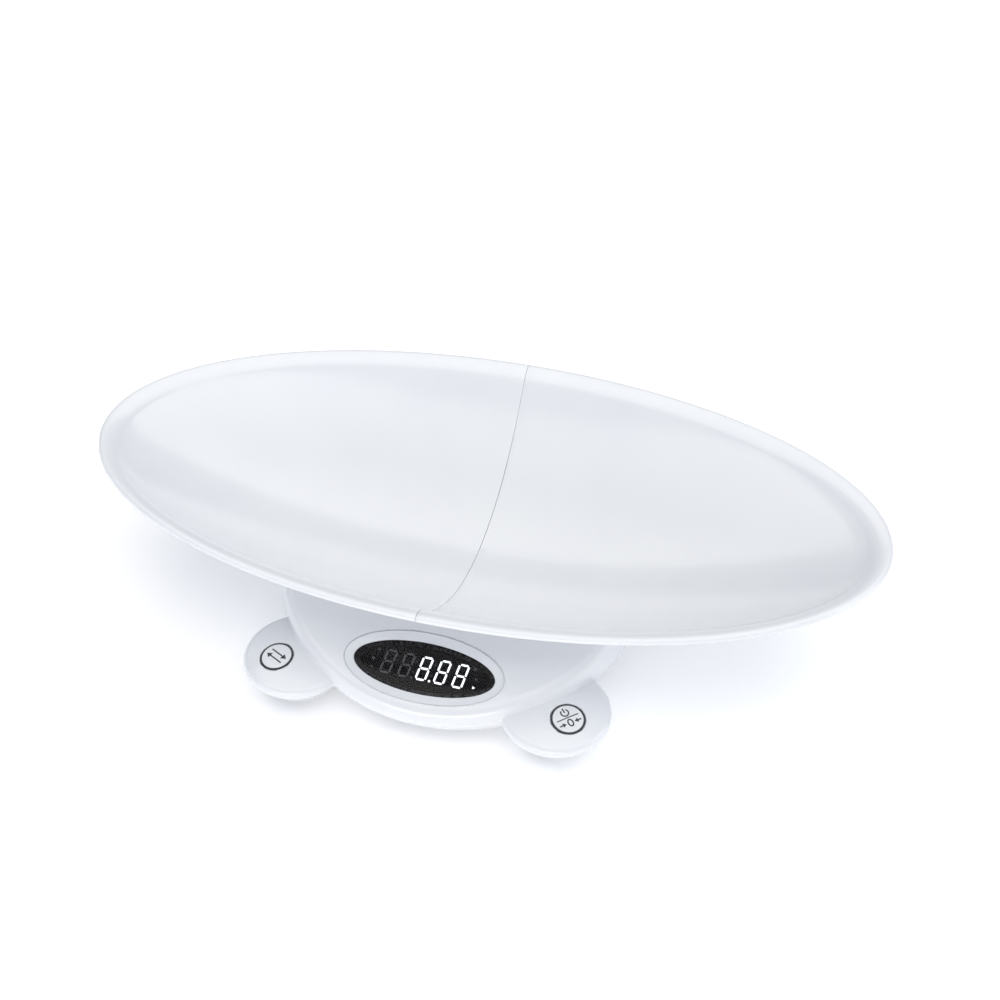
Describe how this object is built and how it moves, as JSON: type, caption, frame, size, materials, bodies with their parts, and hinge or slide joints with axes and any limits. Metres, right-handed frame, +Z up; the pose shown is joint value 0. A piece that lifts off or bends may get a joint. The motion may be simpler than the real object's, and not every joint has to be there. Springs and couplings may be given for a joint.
{
  "type": "digital baby weighing scale",
  "caption": "Baby weighing scale with an oval bowl tray in lift-off halves on a round base with pods, a sloping display window and push buttons that travel.",
  "frame": {"origin": "on the table, under the middle of the scale's bounding box", "axes": "+X along the tray to the right-hand end, +Y to the back, -Y towards the display and the buttons, +Z up"},
  "size_m": [0.6, 0.3252, 0.103],
  "materials": {
    "tray": "glossy white ABS",
    "housing": "glossy white ABS",
    "window": "polished tinted acrylic",
    "module": "matt black ABS",
    "lit": "lit diffuser",
    "unlit": "dark diffuser",
    "board": "solder mask on fibreglass",
    "button": "glossy white ABS",
    "ring": "dark inlay",
    "switch": "moulded nylon",
    "plunger": "moulded nylon",
    "steel": "rolled steel",
    "foot": "moulded ABS",
    "pad": "moulded rubber",
    "chip": "epoxy",
    "connector": "moulded nylon",
    "cell": "printed sleeve",
    "spring": "nickel-plated steel",
    "lead": "PVC sleeve",
    "lead_yellow": "PVC sleeve",
    "ribbon": "PVC sleeve",
    "door": "ABS"
  },
  "bodies": {
    "base": {"upper_housing": "housing", "lower_housing": "housing", "display_window": "window", "display_module": "module", "lit_segments": "lit", "unlit_segments": "unlit", "display_board": "board", "unit_switch": "switch", "tare_switch": "switch", "unit_switch_board": "board", "tare_switch_board": "board", "front_left_load_cell": "steel", "front_right_load_cell": "steel", "back_left_load_cell": "steel", "back_right_load_cell": "steel", "front_left_foot": "foot", "front_right_foot": "foot", "back_left_foot": "foot", "back_right_foot": "foot", "front_left_foot_pad": "pad", "front_right_foot_pad": "pad", "back_left_foot_pad": "pad", "back_right_foot_pad": "pad", "main_board": "board", "main_chip": "chip", "board_connectors": "connector", "battery_1": "cell", "battery_2": "cell", "battery_3": "cell", "battery_4": "cell", "battery_springs": "spring", "battery_plates": "spring", "housing_screws": "steel", "board_screws": "steel", "load_cell_leads": "lead", "button_leads": "lead_yellow", "display_ribbon": "ribbon", "battery_leads": "lead"},
    "tray_left": {"tray_left": "tray"},
    "tray_right": {"tray_right": "tray"},
    "unit_button": {"unit_button": "button", "unit_button_ring": "ring", "unit_switch_plunger": "plunger"},
    "tare_button": {"tare_button": "button", "tare_button_ring": "ring", "tare_switch_plunger": "plunger"},
    "battery_door": {"battery_door": "door"}
  },
  "joints": [
    {"name": "tray_left_lift", "type": "slide", "parent": "base", "child": "tray_left", "axis": [0, 0, 1], "range_m": [0, 0.12]},
    {"name": "tray_right_lift", "type": "slide", "parent": "base", "child": "tray_right", "axis": [0, 0, 1], "range_m": [0, 0.12]},
    {"name": "unit_button_press", "type": "slide", "parent": "base", "child": "unit_button", "axis": [0.0919, 0.0919, -0.9915], "range_m": [0, 0.0008], "stiffness_N_per_m": 600},
    {"name": "tare_button_press", "type": "slide", "parent": "base", "child": "tare_button", "axis": [-0.0919, 0.0919, -0.9915], "range_m": [0, 0.0008], "stiffness_N_per_m": 600},
    {"name": "battery_door_slide", "type": "slide", "parent": "base", "child": "battery_door", "axis": [0, 1, 0], "range_m": [0, 0.055]}
  ]
}
